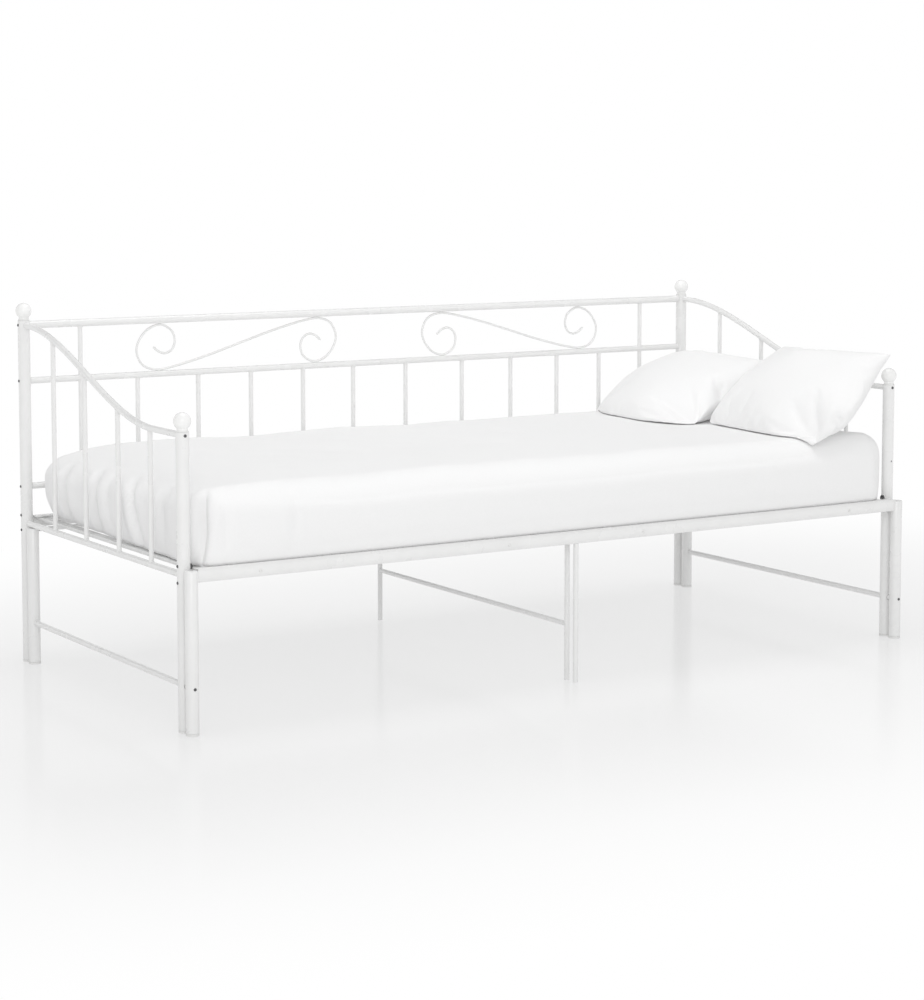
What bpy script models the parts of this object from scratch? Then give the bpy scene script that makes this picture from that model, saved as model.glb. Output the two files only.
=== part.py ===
"""Pull-out steel daybed with a mattress and two pillows.

Frame: X runs along the bed, -Y is the open front, +Y is the back panel, Z is up.
The origin is on the floor, in the middle of the bed's outline.
Everything that slides out hangs on the empty "pullout_origin".
"""

import math

import bmesh
import bpy
from mathutils import Matrix, Vector

# ---- driving dimensions (metres) ----
POST_SPAN_X = 2.040          # centre to centre, left to right
POST_SPAN_Y = 0.898          # centre to centre, front to back
LEG_OFFSET = 0.037           # a pull-out leg stands this far in front of its post
BACK_HEIGHT = 0.901          # floor to the top of a back finial
FRONT_HEIGHT = 0.710         # floor to the top of a front finial
POST_RADIUS = 0.015
GAP = 0.0003                 # clearance between pieces that touch
RUN_GAP = 0.0005             # clearance between pieces that slide past each other

TUBE_WALL = 0.002
FINIAL_RADIUS = 0.0198
NECK_HEIGHT = 0.0045
FOOT_RADIUS = 0.0165
FOOT_HEIGHT = 0.0055

TOP_RAIL_Z = 0.846
MIDDLE_RAIL_Z = 0.707
LOWER_RAIL_Z = 0.443
TOP_RAIL_RADIUS = 0.0095
RAIL_RADIUS = 0.008
SPINDLE_RADIUS = 0.0058
SPIGOT_REACH = 0.042         # how far a joining spigot goes into each half rail
TALL_SPINDLE_X = 0.870       # reaches the top rail, on both halves
LEFT_SPINDLES_X = (0.082, 0.235, 0.390, 0.543, 0.714)
RIGHT_SPINDLES_X = (0.082, 0.263, 0.424, 0.580, 0.726)

SCROLL_RADIUS = 0.003
SCROLL_CENTRE_X = 0.4255
SCROLL_CENTRE_Z = 0.7755
# One half of the S-scroll from its inner end to its middle, as X and Z from the scroll's centre.
SCROLL_HALF = (
    (-0.242, -0.001), (-0.227, -0.0125), (-0.209, -0.0165), (-0.191, -0.007), (-0.183, 0.015),
    (-0.193, 0.042), (-0.226, 0.0565), (-0.266, 0.041), (-0.2905, -0.001), (-0.276, -0.042),
    (-0.236, -0.0565), (-0.180, -0.050), (-0.091, -0.0275), (0.0, 0.0),
)

ARM_RADIUS = 0.0075
ARM_BACK_Z = 0.845
ARM_FRONT_Z = 0.659
ARM_FALL_START = 0.019       # the S starts this far in front of the back post's centre
ARM_FALL_LENGTH = 0.730
ARM_RINGS = 18
SIDE_SPINDLE_Y = (0.183, 0.370, 0.557, 0.732)   # in front of the back post's centre
LOWER_TUBE_Z = 0.350

DECK_TOP = 0.3655            # top of every slat
SLAT_HEIGHT = 0.0235
SLAT_WIDTH = 0.025
PULL_SLATS_X = (0.195, 0.414, 0.634, 0.853)
FIXED_SLATS_X = (0.304, 0.524, 0.744)           # and one in the middle
CROSSBAR_WIDTH = 0.020
CROSSBAR_HEIGHT = 0.008
SIDE_RAIL_WIDTH = 0.025
SIDE_RAIL_HEIGHT = 0.008
SIDE_RAIL_X = 0.9845
ANGLE_PLATE = 0.003
ANGLE_TOP = 0.369
ANGLE_HEIGHT = 0.030
ANGLE_FLANGE = 0.028

CENTRE_LEG_RADIUS = 0.0065
CENTRE_STRETCHER_RADIUS = 0.006
CENTRE_STRETCHER_Z = 0.137
STRETCHER_RADIUS = 0.007
STRETCHER_Z = 0.105
STRETCHER_HOLE_RADIUS = 0.0079

MATTRESS_SIZE = (1.996, 0.917, 0.170)
MATTRESS_EDGE = 0.030
BACK_PILLOW = {"size": (0.48, 0.46, 0.130), "centre": (0.757, 0.210, 0.635), "tilt": 14.0}
FRONT_PILLOW = {"size": (0.42, 0.43, 0.120), "centre": (0.806, -0.2585, 0.656), "tilt": 27.0}

# ---- places worked out from them ----
POST_X = POST_SPAN_X / 2
BACK_Y = (POST_SPAN_Y + LEG_OFFSET - FINIAL_RADIUS + FOOT_RADIUS) / 2
FRONT_Y = BACK_Y - POST_SPAN_Y
PULL_REAR_Y = BACK_Y - LEG_OFFSET
PULL_FRONT_Y = FRONT_Y - LEG_OFFSET
REACH = POST_RADIUS + GAP    # a bar ends this far from the centre of the post it meets
SLAT_BOTTOM = DECK_TOP - SLAT_HEIGHT
CROSSBAR_Z = SLAT_BOTTOM - RUN_GAP - CROSSBAR_HEIGHT / 2
CROSSBAR_BOTTOM = CROSSBAR_Z - CROSSBAR_HEIGHT / 2
FRONT_PLATE_Y = PULL_FRONT_Y - 0.006            # outer face of the front rail's upright plate
REAR_LEG_TOP = LOWER_TUBE_Z - ARM_RADIUS - RUN_GAP
FRONT_LEG_TOP = DECK_TOP

POST_SIDES = 20
RAIL_SIDES = 14
ROD_SIDES = 10

# colour, roughness, metallic
POWDER_COAT = ((0.86, 0.86, 0.85, 1.0), 0.35, 0.0)
GLOSS_WHITE = ((0.88, 0.88, 0.87, 1.0), 0.12, 0.0)
GREY_PLASTIC = ((0.62, 0.62, 0.61, 1.0), 0.55, 0.0)
BARE_STEEL = ((0.55, 0.55, 0.56, 1.0), 0.30, 1.0)
WHITE_SHEET = ((0.90, 0.90, 0.91, 1.0), 0.90, 0.0)
WHITE_PILLOW = ((0.92, 0.92, 0.92, 1.0), 0.92, 0.0)


# ---- building blocks ----
def clear_scene():
    for item in list(bpy.data.objects):
        bpy.data.objects.remove(item, do_unlink=True)


def new_material(name, finish):
    colour, roughness, metallic = finish
    material = bpy.data.materials.new(name)
    material.use_nodes = True
    shader = material.node_tree.nodes["Principled BSDF"]
    shader.inputs["Base Color"].default_value = colour
    shader.inputs["Roughness"].default_value = roughness
    shader.inputs["Metallic"].default_value = metallic
    return material


def new_empty(name, location):
    empty = bpy.data.objects.new(name, None)
    empty.location = location
    bpy.context.scene.collection.objects.link(empty)
    return empty


def mesh_from(bm, name, smooth):
    bmesh.ops.recalc_face_normals(bm, faces=bm.faces)
    if bm.calc_volume(signed=True) < 0:
        bmesh.ops.reverse_faces(bm, faces=bm.faces)
    mesh = bpy.data.meshes.new(name)
    bm.to_mesh(mesh)
    bm.free()
    if smooth:
        mesh.shade_smooth()
        mesh.set_sharp_from_angle(angle=math.radians(40))
    return mesh


def place(name, mesh, finish, location, parent=None):
    item = bpy.data.objects.new(name, mesh)
    item.data.materials.append(new_material(name, finish))
    bpy.context.scene.collection.objects.link(item)
    item.location = location
    if parent:
        item.parent = parent
        item.location = Vector(location) - parent.location
    return item


def add_lathe(bm, profile, sides, turn=None, shift=(0, 0, 0)):
    """Turn a closed (radius, height) outline about Z, then turn and shift the result."""
    matrix = Matrix.Translation(shift) @ (turn or Matrix.Identity(4))
    rings = []
    for radius, height in profile:
        if radius < 1e-9:
            rings.append([bm.verts.new(matrix @ Vector((0, 0, height)))] * sides)
            continue
        angles = [2 * math.pi * k / sides for k in range(sides)]
        points = [Vector((radius * math.cos(a), radius * math.sin(a), height)) for a in angles]
        rings.append([bm.verts.new(matrix @ point) for point in points])
    for lower, upper in zip(rings, rings[1:] + rings[:1]):
        for k in range(sides):
            corners = [lower[k], lower[k - 1], upper[k - 1], upper[k]]
            distinct = list(dict.fromkeys(corners))
            if len(distinct) > 2:
                bm.faces.new(distinct)


def add_sweep(bm, points, radius, sides, side_axis):
    """Sweep a round bar along a path that lies in the plane square to side_axis."""
    side = Vector(side_axis)
    path = [Vector(point) for point in points]
    rings = []
    for index, point in enumerate(path):
        before = path[max(index - 1, 0)]
        after = path[min(index + 1, len(path) - 1)]
        other = (after - before).normalized().cross(side)
        ring = []
        for k in range(sides):
            angle = 2 * math.pi * k / sides
            ring.append(bm.verts.new(point + radius * (math.cos(angle) * side + math.sin(angle) * other)))
        rings.append(ring)
    for first, second in zip(rings, rings[1:]):
        for k in range(sides):
            bm.faces.new((first[k - 1], first[k], second[k], second[k - 1]))
    bm.faces.new(rings[0])
    bm.faces.new(rings[-1])


def lathe(name, profile, sides, finish, location, parent=None):
    bm = bmesh.new()
    add_lathe(bm, profile, sides)
    return place(name, mesh_from(bm, name, True), finish, location, parent)


def bar(name, start, end, radius, finish, parent=None):
    """A straight round bar between two points that lie on one axis."""
    origin = Vector(start)
    along = Vector(end) - origin
    side = (0, 0, 1) if abs(along.z) < 1e-6 else (0, 1, 0)
    bm = bmesh.new()
    add_sweep(bm, (Vector(), along), radius, RAIL_SIDES, side)
    return place(name, mesh_from(bm, name, True), finish, origin, parent)


def block(name, size, centre, finish, parent=None):
    bm = bmesh.new()
    bmesh.ops.create_cube(bm, size=1.0)
    bmesh.ops.scale(bm, vec=size, verts=bm.verts)
    return place(name, mesh_from(bm, name, False), finish, centre, parent)


def angle_bar(name, outline, half_length, location, parent=None):
    """Extrude an L outline, given as (Y, Z) points, along X."""
    bm = bmesh.new()
    left = [bm.verts.new((-half_length, y, z)) for y, z in outline]
    face = bm.faces.new(left)
    grown = bmesh.ops.extrude_face_region(bm, geom=[face])
    moved = [item for item in grown["geom"] if isinstance(item, bmesh.types.BMVert)]
    bmesh.ops.translate(bm, vec=(2 * half_length, 0, 0), verts=moved)
    return place(name, mesh_from(bm, name, False), POWDER_COAT, location, parent)


def cutter(name, bm):
    item = bpy.data.objects.new(name, mesh_from(bm, name, True))
    item.hide_render = True
    item.display_type = "WIRE"
    bpy.context.scene.collection.objects.link(item)
    return item


def add_boolean(item, tool, operation):
    modifier = item.modifiers.new(tool.name, "BOOLEAN")
    modifier.operation = operation
    modifier.object = tool


def smooth_path(points, steps):
    """Catmull-Rom curve through hand-placed points."""
    path = [Vector(point) for point in points]
    ends = [2 * path[0] - path[1]] + path + [2 * path[-1] - path[-2]]
    result = []
    for a, b, c, d in zip(ends, ends[1:], ends[2:], ends[3:]):
        for step in range(steps):
            t = step / steps
            result.append(0.5 * ((2 * b) + (c - a) * t + (2 * a - 5 * b + 4 * c - d) * t ** 2
                                 + (3 * b - a - 3 * c + d) * t ** 3))
    return result + [path[-1]]


# ---- posts, finials and feet ----
def tube_profile(bottom, top, closed_top):
    bore = POST_RADIUS - TUBE_WALL
    if closed_top:
        return ((POST_RADIUS, bottom), (POST_RADIUS, top - 0.002), (POST_RADIUS - 0.002, top), (0, top),
                (0, top - TUBE_WALL), (bore, top - TUBE_WALL), (bore, bottom))
    return ((POST_RADIUS, bottom), (POST_RADIUS, top), (bore, top), (bore, bottom))


def finial_profile():
    stem = POST_RADIUS - TUBE_WALL - 2 * GAP
    outline = [(0, -0.030), (stem, -0.030), (stem, GAP), (0.0125, GAP), (0.0125, 0.0025), (0.008, NECK_HEIGHT)]
    centre = NECK_HEIGHT + FINIAL_RADIUS - 0.001
    for step in range(1, 9):
        angle = math.radians(-90 + 22 + step * (180 - 22) / 9)
        outline.append((FINIAL_RADIUS * math.cos(angle), centre + FINIAL_RADIUS * math.sin(angle)))
    return outline + [(0, centre + FINIAL_RADIUS)]


def foot_profile():
    stem = POST_RADIUS - TUBE_WALL - 2 * GAP
    return ((0, 0), (FOOT_RADIUS - 0.001, 0), (FOOT_RADIUS, 0.001), (FOOT_RADIUS, FOOT_HEIGHT),
            (stem, FOOT_HEIGHT), (stem, 0.024), (0, 0.024))


def build_posts():
    bottom = FOOT_HEIGHT + GAP
    finial_height = NECK_HEIGHT - 0.001 + 2 * FINIAL_RADIUS
    for end, y, height in (("back", BACK_Y, BACK_HEIGHT), ("front", FRONT_Y, FRONT_HEIGHT)):
        for side, x in (("left", -POST_X), ("right", POST_X)):
            top = height - finial_height
            post = lathe(f"post_{end}_{side}", tube_profile(bottom, top, False), POST_SIDES,
                         POWDER_COAT, (x, y, 0))
            lathe(f"finial_{end}_{side}", finial_profile(), 14, GLOSS_WHITE, (x, y, top))
            lathe(f"foot_{end}_{side}", foot_profile(), 14, GREY_PLASTIC, (x, y, 0))
            if end == "front":
                cut_stretcher_hole(post, x, y)


def cut_stretcher_hole(post, x, y):
    """The pull-out's side stretcher slides through this post."""
    bm = bmesh.new()
    ends = (Vector((x, y - 0.02, STRETCHER_Z)), Vector((x, y + 0.02, STRETCHER_Z)))
    add_sweep(bm, ends, STRETCHER_HOLE_RADIUS, POST_SIDES, (1, 0, 0))
    add_boolean(post, cutter(f"cut_{post.name}", bm), "DIFFERENCE")


# ---- back panel ----
def rail_profile(length, radius, bore):
    """A half rail standing on its post end, with a blind hole for the spigot in its top."""
    depth = SPIGOT_REACH + 0.002
    return ((0, 0), (radius, 0), (radius, length), (bore, length), (bore, length - depth), (0, length - depth))


def build_back_panel(side, sign, short_spindles):
    length = POST_X - REACH - GAP
    turn = Matrix.Rotation(-sign * math.pi / 2, 4, "Y")
    bm = bmesh.new()
    for z, radius in ((TOP_RAIL_Z, TOP_RAIL_RADIUS), (MIDDLE_RAIL_Z, RAIL_RADIUS), (LOWER_RAIL_Z, RAIL_RADIUS)):
        profile = rail_profile(length, radius, radius - 0.003 + GAP)
        add_lathe(bm, profile, RAIL_SIDES, turn, (sign * (POST_X - REACH), 0, z))
    name = f"back_panel_{side}"
    panel = place(name, mesh_from(bm, name, True), POWDER_COAT, (0, BACK_Y, 0))
    spindles = bmesh.new()
    for x, top in [(TALL_SPINDLE_X, TOP_RAIL_Z)] + [(x, MIDDLE_RAIL_Z) for x in short_spindles]:
        ends = (Vector((sign * x, BACK_Y, LOWER_RAIL_Z)), Vector((sign * x, BACK_Y, top)))
        add_sweep(spindles, ends, SPINDLE_RADIUS, ROD_SIDES, (0, 1, 0))
    add_boolean(panel, cutter(f"spindles_{side}", spindles), "UNION")


def build_scroll(side, sign):
    half = [Vector((x, 0, z)) for x, z in SCROLL_HALF]
    whole = half + [-point for point in reversed(half[:-1])]
    path = [Vector((-sign * point.x, 0, point.z)) for point in smooth_path(whole, 2)]
    bm = bmesh.new()
    add_sweep(bm, path, SCROLL_RADIUS, 6, (0, 1, 0))
    name = f"scroll_{side}"
    place(name, mesh_from(bm, name, True), POWDER_COAT,
          (sign * SCROLL_CENTRE_X, BACK_Y, SCROLL_CENTRE_Z))


def build_spigots():
    """Short bars inside the meeting ends of the half rails."""
    for name, z, radius in (("top", TOP_RAIL_Z, TOP_RAIL_RADIUS), ("middle", MIDDLE_RAIL_Z, RAIL_RADIUS),
                            ("lower", LOWER_RAIL_Z, RAIL_RADIUS)):
        bar(f"spigot_{name}", (-SPIGOT_REACH, BACK_Y, z), (SPIGOT_REACH, BACK_Y, z),
            radius - 0.003 - GAP, BARE_STEEL)


# ---- side panels ----
def arm_height(y):
    """Height of the arm tube's centre: level at the back, an S, then level at the front."""
    fall = (BACK_Y - ARM_FALL_START - y) / ARM_FALL_LENGTH
    fall = min(max(fall, 0.0), 1.0)
    return ARM_BACK_Z - (ARM_BACK_Z - ARM_FRONT_Z) * fall * fall * (3 - 2 * fall)


def build_side_panel(side, x):
    back = BACK_Y - REACH
    front = FRONT_Y + REACH
    arm = []
    for ring in range(ARM_RINGS + 1):
        y = back + (front - back) * ring / ARM_RINGS
        arm.append(Vector((0, y, arm_height(y))))
    bm = bmesh.new()
    add_sweep(bm, arm, ARM_RADIUS, 12, (1, 0, 0))
    add_sweep(bm, ((0, back, LOWER_TUBE_Z), (0, front, LOWER_TUBE_Z)), ARM_RADIUS, 12, (1, 0, 0))
    name = f"side_panel_{side}"
    panel = place(name, mesh_from(bm, name, True), POWDER_COAT, (x, 0, 0))
    spindles = bmesh.new()
    for distance in SIDE_SPINDLE_Y:
        y = BACK_Y - distance
        ends = (Vector((x, y, LOWER_TUBE_Z)), Vector((x, y, arm_height(y))))
        add_sweep(spindles, ends, SPINDLE_RADIUS, ROD_SIDES, (0, 1, 0))
    add_boolean(panel, cutter(f"side_spindles_{side}", spindles), "UNION")


# ---- fixed deck ----
def angle_outline(outward):
    """L section with its plate's outer face at Y 0; outward is the way that face looks."""
    plate = -outward * ANGLE_PLATE
    flange = -outward * ANGLE_FLANGE
    bottom = ANGLE_TOP - ANGLE_HEIGHT
    return ((0, bottom), (0, ANGLE_TOP), (flange, ANGLE_TOP), (flange, ANGLE_TOP - ANGLE_PLATE),
            (plate, ANGLE_TOP - ANGLE_PLATE), (plate, bottom))


def slat(name, x, front, back, parent=None):
    centre = (x, (front + back) / 2, DECK_TOP - SLAT_HEIGHT / 2)
    return block(name, (SLAT_WIDTH, back - front, SLAT_HEIGHT), centre, POWDER_COAT, parent)


def build_fixed_deck():
    rail_face = BACK_Y + ANGLE_PLATE / 2
    angle_bar("rear_rail", angle_outline(1), POST_X - REACH, (0, rail_face, 0))
    width = 2 * (POST_X - REACH)
    block("front_crossbar", (width, CROSSBAR_WIDTH, CROSSBAR_HEIGHT), (0, FRONT_Y, CROSSBAR_Z), POWDER_COAT)
    back = BACK_Y - ANGLE_PLATE / 2 - GAP
    front = FRONT_Y - CROSSBAR_WIDTH / 2
    for side, sign in (("left", -1), ("right", 1)):
        size = (SIDE_RAIL_WIDTH, back - front, SIDE_RAIL_HEIGHT)
        centre = (sign * SIDE_RAIL_X, (back + front) / 2, DECK_TOP - SIDE_RAIL_HEIGHT / 2)
        block(f"side_rail_{side}", size, centre, POWDER_COAT)
    places = sorted([-x for x in FIXED_SLATS_X] + [0.0] + list(FIXED_SLATS_X))
    for number, x in enumerate(places, start=1):
        slat(f"fixed_slat_{number}", x, front, back)


def build_centre_support():
    rear_top = ANGLE_TOP - ANGLE_HEIGHT - GAP
    front_top = CROSSBAR_BOTTOM - GAP
    bar("centre_leg_back", (0, BACK_Y, 0), (0, BACK_Y, rear_top), CENTRE_LEG_RADIUS, POWDER_COAT)
    bar("centre_leg_front", (0, FRONT_Y, 0), (0, FRONT_Y, front_top), CENTRE_LEG_RADIUS, POWDER_COAT)
    reach = CENTRE_LEG_RADIUS + GAP
    bar("centre_stretcher", (0, FRONT_Y + reach, CENTRE_STRETCHER_Z),
        (0, BACK_Y - reach, CENTRE_STRETCHER_Z), CENTRE_STRETCHER_RADIUS, POWDER_COAT)


# ---- pull-out frame ----
def build_pullout(origin):
    bottom = FOOT_HEIGHT + GAP
    for end, y, top in (("rear", PULL_REAR_Y, REAR_LEG_TOP), ("front", PULL_FRONT_Y, FRONT_LEG_TOP)):
        for side, x in (("left", -POST_X), ("right", POST_X)):
            lathe(f"pull_leg_{end}_{side}", tube_profile(bottom, top, True), POST_SIDES,
                  POWDER_COAT, (x, y, 0), origin)
            lathe(f"pull_foot_{end}_{side}", foot_profile(), 14, GREY_PLASTIC, (x, y, 0), origin)
    for side, x in (("left", -POST_X), ("right", POST_X)):
        bar(f"side_stretcher_{side}", (x, PULL_FRONT_Y + REACH, STRETCHER_Z),
            (x, PULL_REAR_Y - REACH, STRETCHER_Z), STRETCHER_RADIUS, POWDER_COAT, origin)
    angle_bar("front_rail", angle_outline(-1), POST_X - REACH, (0, FRONT_PLATE_Y, 0), origin)
    width = 2 * (POST_X - REACH)
    bar_size = (width, CROSSBAR_WIDTH, CROSSBAR_HEIGHT)
    block("rear_crossbar", bar_size, (0, PULL_REAR_Y, CROSSBAR_Z), POWDER_COAT, origin)
    front = FRONT_PLATE_Y + ANGLE_PLATE + GAP
    back = PULL_REAR_Y + CROSSBAR_WIDTH / 2
    places = sorted([-x for x in PULL_SLATS_X] + list(PULL_SLATS_X))
    for number, x in enumerate(places, start=1):
        slat(f"pull_slat_{number}", x, front, back, origin)
    leg_y = FRONT_PLATE_Y + CENTRE_LEG_RADIUS
    leg_top = ANGLE_TOP - ANGLE_HEIGHT - GAP
    bar("pull_centre_leg", (0, leg_y, 0), (0, leg_y, leg_top), CENTRE_LEG_RADIUS, POWDER_COAT, origin)


# ---- mattress and pillows ----
def build_mattress():
    bottom = ANGLE_TOP + RUN_GAP
    front = FRONT_PLATE_Y + 0.0135
    centre = (0, front + MATTRESS_SIZE[1] / 2, bottom + MATTRESS_SIZE[2] / 2)
    mattress = block("mattress", MATTRESS_SIZE, centre, WHITE_SHEET)
    bevel = mattress.modifiers.new("rounded edges", "BEVEL")
    bevel.width = MATTRESS_EDGE
    bevel.segments = 3


def pillow_height(u, v):
    """Half thickness of a plump pillow, as a share of its middle; u and v run from -1 to 1."""
    return math.sqrt(max(0.0, 1 - abs(u) ** 2.5)) * math.sqrt(max(0.0, 1 - abs(v) ** 2.5))


def build_pillow(name, shape, cells=9):
    length, width, thickness = shape["size"]
    bm = bmesh.new()
    sheets = []
    for face in (1, -1):
        rows = []
        for i in range(cells + 1):
            row = []
            for j in range(cells + 1):
                u = math.sin(math.pi * (i / cells - 0.5))
                v = math.sin(math.pi * (j / cells - 0.5))
                on_rim = i in (0, cells) or j in (0, cells)
                if on_rim and face == -1:
                    row.append(sheets[0][i][j])
                    continue
                height = 0.0 if on_rim else face * thickness / 2 * pillow_height(u, v)
                row.append(bm.verts.new((u * length / 2, v * width / 2, height)))
            rows.append(row)
        sheets.append(rows)
        for i in range(cells):
            for j in range(cells):
                bm.faces.new((rows[i][j], rows[i + 1][j], rows[i + 1][j + 1], rows[i][j + 1]))
    pillow = place(name, mesh_from(bm, name, True), WHITE_PILLOW, shape["centre"])
    pillow.rotation_euler.y = -math.radians(shape["tilt"])


def main():
    clear_scene()
    build_posts()
    build_back_panel("left", -1, LEFT_SPINDLES_X)
    build_back_panel("right", 1, RIGHT_SPINDLES_X)
    build_scroll("left", -1)
    build_scroll("right", 1)
    build_spigots()
    build_side_panel("left", -POST_X)
    build_side_panel("right", POST_X)
    build_fixed_deck()
    build_centre_support()
    build_pullout(new_empty("pullout_origin", (0, PULL_FRONT_Y, 0)))
    build_mattress()
    build_pillow("pillow_back", BACK_PILLOW)
    build_pillow("pillow_front", FRONT_PILLOW)


main()
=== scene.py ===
"""Looks of the pull-out daybed: powder-coated tubes, welds, fasteners, deck, mattress, pillows, studio.

Everything is in metres in the frame's own axes: X along the bed, -Y the open front, Z up.
"""

import math

import bmesh
import bpy
import numpy as np
from mathutils import Matrix, Vector, noise
from mathutils.bvhtree import BVHTree


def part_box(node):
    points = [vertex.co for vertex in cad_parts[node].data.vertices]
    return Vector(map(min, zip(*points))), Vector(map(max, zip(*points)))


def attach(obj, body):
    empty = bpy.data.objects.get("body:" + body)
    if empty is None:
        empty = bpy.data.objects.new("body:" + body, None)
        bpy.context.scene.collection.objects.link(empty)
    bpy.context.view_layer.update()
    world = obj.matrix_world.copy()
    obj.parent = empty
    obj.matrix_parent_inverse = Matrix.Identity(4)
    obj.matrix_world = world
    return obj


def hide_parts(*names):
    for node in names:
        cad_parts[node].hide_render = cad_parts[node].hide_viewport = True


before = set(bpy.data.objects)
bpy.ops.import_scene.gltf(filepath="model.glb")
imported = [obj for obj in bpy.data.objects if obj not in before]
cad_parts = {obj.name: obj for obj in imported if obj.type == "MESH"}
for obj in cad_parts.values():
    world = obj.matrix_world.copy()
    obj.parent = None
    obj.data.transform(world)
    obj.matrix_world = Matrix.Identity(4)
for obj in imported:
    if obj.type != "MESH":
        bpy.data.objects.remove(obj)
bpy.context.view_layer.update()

# ---- driving dimensions, shared with the frame (metres) ----
POST_RADIUS = 0.015
POST_WALL = 0.002
TOUCH = 0.0003               # gap between pieces that touch
FINIAL_RADIUS = 0.0198
NECK_HEIGHT = 0.0045
FOOT_CAP_HEIGHT = 0.0055
TOP_RAIL_Z = 0.846
MIDDLE_RAIL_Z = 0.707
LOWER_RAIL_Z = 0.443
TOP_RAIL_RADIUS = 0.0095
RAIL_RADIUS = 0.008
SPINDLE_RADIUS = 0.0058
TALL_SPINDLE_X = 0.870
SHORT_SPINDLES_X = {
    "left": (0.082, 0.235, 0.390, 0.543, 0.714),
    "right": (0.082, 0.263, 0.424, 0.580, 0.726),
}
SCROLL_RADIUS = 0.003
SCROLL_CENTRE_X = 0.4255
SCROLL_CENTRE_Z = 0.7757
SCROLL_HALF = (
    (-0.242, -0.001), (-0.227, -0.0125), (-0.209, -0.0165), (-0.191, -0.007), (-0.183, 0.015),
    (-0.193, 0.042), (-0.226, 0.0575), (-0.266, 0.041), (-0.2905, -0.001), (-0.276, -0.042),
    (-0.236, -0.0575), (-0.180, -0.050), (-0.091, -0.0275), (0.0, 0.0),
)
ARM_RADIUS = 0.0075
ARM_BACK_Z = 0.845
ARM_FRONT_Z = 0.659
ARM_FALL_START = 0.019
ARM_FALL_LENGTH = 0.730
SIDE_SPINDLE_Y = (0.183, 0.370, 0.557, 0.732)   # in front of the back post's centre
LOWER_TUBE_Z = 0.350
STRETCHER_Z = 0.105
STRETCHER_HOLE_RADIUS = 0.0079
ANGLE_PLATE = 0.003
ANGLE_FLANGE = 0.028

# ---- places read from the frame ----
SIDES = {"left": -1, "right": 1}


def middle(node):
    low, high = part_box(node)
    return (low + high) / 2


POST_X = middle("post_back_right").x
BACK_Y = middle("post_back_right").y
FRONT_Y = middle("post_front_right").y
FRONT_PLATE_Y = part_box("front_rail")[0].y

# ---- seams, welds and fasteners ----
WELD = 0.0014
BOLT_RADIUS = 0.0038
BOLT_HEIGHT = 0.0028
BOLT_SEAT = 0.0010           # a round head sinks this far into the crown of a tube
BACK_POST_BOLTS_Z = (0.846, 0.707, 0.443, 0.371, 0.334)
FRONT_POST_BOLTS_Z = (0.371, 0.334)

# ---- mattress in its fitted sheet ----
EDGE_ACROSS = 0.048          # how far in the round top edge starts
EDGE_DOWN = 0.062            # how far down it ends
HEM_RADIUS = 0.003
HEM_HEIGHT = 0.025           # the lowest part of the sheet, drawn down on to the deck
HEM_DROP = 0.004
CORNER_RADIUS = 0.052
MATTRESS_CELLS = (0.0130, 0.0088, 0.0085)
SHEET_FRAMES = 8
SHEET_GIVE = 0.0025
# folds of the fitted sheet on an end: place at the top, place at the bottom, width, depth
LEFT_FOLDS = (
    (0.308, 0.298, 0.021, 0.022), (0.125, 0.106, 0.020, 0.024), (0.045, 0.000, 0.013, 0.005),
    (-0.066, -0.140, 0.019, 0.023), (-0.262, -0.272, 0.024, 0.015), (-0.424, -0.430, 0.013, 0.018),
)
RIGHT_FOLDS = (
    (0.330, 0.345, 0.017, 0.014), (0.160, 0.120, 0.016, 0.014), (-0.020, -0.050, 0.018, 0.011),
    (-0.215, -0.180, 0.014, 0.015), (-0.350, -0.372, 0.016, 0.011),
)
# folds beside the corners on the long faces
FRONT_FOLDS = (
    (-0.988, -0.991, 0.013, 0.017), (-0.962, -0.966, 0.009, 0.007), (-0.925, -0.940, 0.014, 0.004),
    (-0.748, -0.772, 0.009, 0.0045), (0.952, 0.966, 0.012, 0.007), (0.560, 0.548, 0.016, 0.002),
)

# ---- pillows ----
# The lower edge of each case as it lies on the mattress, far end first, and its two upper corners.
PILLOW_LOW_EDGE = {
    "pillow_back": ((0.690, 0.425), (0.638, 0.318), (0.618, 0.200), (0.610, 0.080), (0.640, -0.008),
                    (0.690, -0.036)),
    "pillow_front": ((0.726, -0.056), (0.714, -0.150), (0.700, -0.260), (0.700, -0.385), (0.745, -0.450)),
}
PILLOW_HIGH_CORNERS = {
    "pillow_back": ((0.985, 0.428, 0.686), (0.985, -0.022, 0.696)),
    "pillow_front": ((0.985, -0.055, 0.744), (1.000, -0.468, 0.752)),
}
# how far the far and near sides of each case curve out, and how much larger than its place it is cut
SIDE_CUT = {"pillow_back": (0.015, 0.010), "pillow_front": (0.010, 0.068)}
PILLOW_SLACK = {"pillow_back": 1.045, "pillow_front": 1.065}
PILLOW_CELL = 0.0085
PILLOW_PRESSURE = 14.0
PILLOW_GRAVITY = 0.06
PILLOW_FRAMES = 30
EDGE_LIFT = 0.003            # parts of the lower edge stand this far off the sheet
SKIN_GAP = 0.0008
PANEL_FACE = POST_X - ARM_RADIUS - 0.0005
STOP_REACH = 0.6             # half width of the board that stands in for the end panel
STOP_HEIGHTS = (0.3, 0.8)

# ---- studio ----
ROOM_BACK = 0.49             # brightness of the white room behind the bed and in front of it
ROOM_FRONT = 0.88
ROOM_FACING = (-0.25, -0.97, 0.0)
SOFTBOXES = (                # name, place, aim, size, watts
    ("overhead", (0.0, 0.2, 4.2), (0, 0, 0.4), (3.0, 2.0), 46),
    ("front", (-3.1, -5.0, 2.5), (0, 0, 0.5), (2.0, 3.2), 52),
    ("right", (5.5, -1.5, 2.2), (0, 0, 0.5), (3.0, 3.0), 8),
)


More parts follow.
